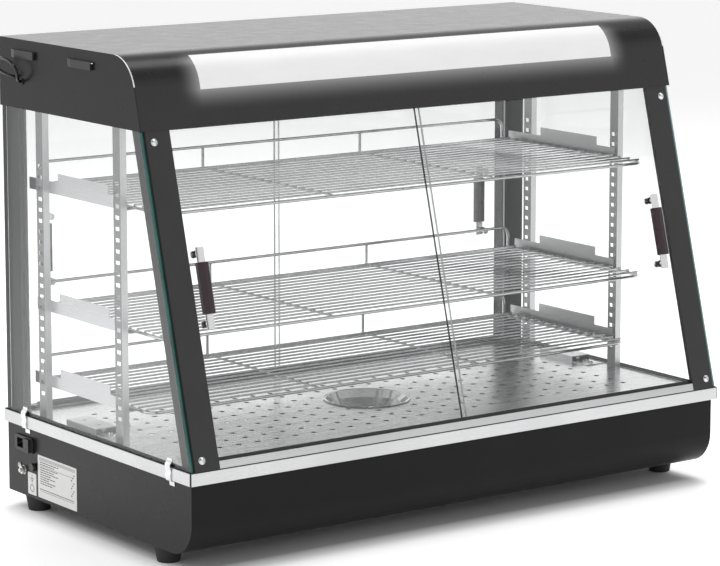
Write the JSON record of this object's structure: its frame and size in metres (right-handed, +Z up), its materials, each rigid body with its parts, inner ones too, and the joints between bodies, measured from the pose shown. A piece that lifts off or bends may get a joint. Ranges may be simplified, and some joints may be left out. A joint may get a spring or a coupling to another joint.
{
  "type": "hot food display case",
  "caption": "Heated countertop food display case: black base and hood, sloping front with sliding glass doors, glass sides, wire shelves and a perforated steel deck with a water bowl.",
  "frame": {"origin": "middle of the footprint at the height of the surface the feet stand on", "axes": "+X to the right of a customer facing the sloping front, +Y from the sloping front to the back, +Z up"},
  "size_m": [0.925, 0.495, 0.662],
  "materials": {
    "black_paint": "satin powder coat",
    "grey_paint": "satin powder coat",
    "galvanised": "galvanised sheet",
    "rubber": "matt",
    "stainless": "brushed",
    "black_plastic": "moulded",
    "bright_steel": "polished",
    "chrome_wire": "plated",
    "glass": "clear, green edges",
    "diffuser": "milky, lit from behind",
    "lamp_glass": "white coated glass tube",
    "white_plastic": "moulded",
    "brass_zinc": "zinc plated",
    "label": "printed film, no lettering",
    "heater_steel": "heat-tinted",
    "dial": "dial with plain marks",
    "red_plastic": "moulded",
    "cable": "matt sheath",
    "burgundy": "moulded, satin"
  },
  "bodies": {
    "case": {"base_shell": "black_paint", "bottom_plate": "galvanised", "feet": "rubber", "top_frame": "stainless", "rubber_seals": "rubber", "deck_tray": "stainless", "front_sill": "stainless", "lower_tracks": "black_plastic", "head_tracks": "black_plastic", "front_post_left": "black_paint", "front_post_right": "black_paint", "rear_pillar_left": "grey_paint", "rear_pillar_right": "grey_paint", "side_glass_left": "glass", "side_glass_right": "glass", "shelf_posts_left": "stainless", "shelf_posts_right": "stainless", "shelf_brackets_top": "stainless", "shelf_brackets_middle": "stainless", "shelf_brackets_lower": "stainless", "hood_cover": "black_paint", "hood_end_left": "black_paint", "hood_end_right": "black_paint", "hood_back": "black_paint", "hood_ceiling": "stainless", "lamp_window": "diffuser", "lamp_tube": "lamp_glass", "lamp_holders": "white_plastic", "frame_screws": "bright_steel", "spring_clips": "bright_steel", "power_inlet": "black_plastic", "earth_terminal": "brass_zinc", "rating_plates": "label", "deck_heaters": "heater_steel", "thermostat": "white_plastic", "terminal_block": "white_plastic", "switch_frames": "black_plastic", "probe_brackets": "stainless", "thermometer": "dial", "lamp_lead": "cable"},
    "front_door_left": {"front_glass_left": "glass", "front_handle_left": "bright_steel", "front_grip_left": "burgundy"},
    "front_door_right": {"front_glass_right": "glass", "front_handle_right": "bright_steel", "front_grip_right": "burgundy"},
    "rear_door_left": {"rear_glass_left": "glass", "rear_handle_left": "bright_steel", "rear_grip_left": "burgundy"},
    "rear_door_right": {"rear_glass_right": "glass", "rear_handle_right": "bright_steel", "rear_grip_right": "burgundy"},
    "upper_shelf": {"shelf_top": "chrome_wire"},
    "centre_shelf": {"shelf_middle": "chrome_wire"},
    "bottom_shelf": {"shelf_lower": "chrome_wire"},
    "bowl": {"water_bowl": "stainless"},
    "knob": {"thermostat_knob": "black_plastic"},
    "power_rocker": {"power_switch": "red_plastic"},
    "lamp_rocker": {"lamp_switch": "black_plastic"},
    "reset_cap": {"reset_button": "black_plastic"}
  },
  "joints": [
    {"name": "front_door_left_slide", "type": "slide", "parent": "case", "child": "front_door_left", "axis": [1, 0, 0], "range_m": [0, 0.36]},
    {"name": "front_door_right_slide", "type": "slide", "parent": "case", "child": "front_door_right", "axis": [1, 0, 0], "range_m": [-0.36, 0]},
    {"name": "rear_door_left_slide", "type": "slide", "parent": "case", "child": "rear_door_left", "axis": [1, 0, 0], "range_m": [0, 0.367]},
    {"name": "rear_door_right_slide", "type": "slide", "parent": "case", "child": "rear_door_right", "axis": [1, 0, 0], "range_m": [-0.367, 0]},
    {"name": "upper_shelf_lift", "type": "slide", "parent": "case", "child": "upper_shelf", "axis": [0, 0, 1], "range_m": [0, 0.02]},
    {"name": "centre_shelf_lift", "type": "slide", "parent": "case", "child": "centre_shelf", "axis": [0, 0, 1], "range_m": [0, 0.02]},
    {"name": "bottom_shelf_lift", "type": "slide", "parent": "case", "child": "bottom_shelf", "axis": [0, 0, 1], "range_m": [0, 0.02]},
    {"name": "bowl_lift", "type": "slide", "parent": "case", "child": "bowl", "axis": [0, 0, 1], "range_m": [0, 0.035]},
    {"name": "knob_turn", "type": "hinge", "parent": "case", "child": "knob", "pos_m": [0.29, 0.2335, 0.072], "axis": [0, 1, 0], "range_deg": [0, 270]},
    {"name": "power_rocker_tilt", "type": "hinge", "parent": "case", "child": "power_rocker", "pos_m": [0.16, 0.2305, 0.072], "axis": [1, 0, 0], "range_deg": [-16, 0]},
    {"name": "lamp_rocker_tilt", "type": "hinge", "parent": "case", "child": "lamp_rocker", "pos_m": [0.12, 0.2305, 0.072], "axis": [1, 0, 0], "range_deg": [-16, 0]},
    {"name": "reset_press", "type": "slide", "parent": "case", "child": "reset_cap", "axis": [1, 0, 0], "range_m": [0, 0.002], "stiffness_N_per_m": 300}
  ]
}
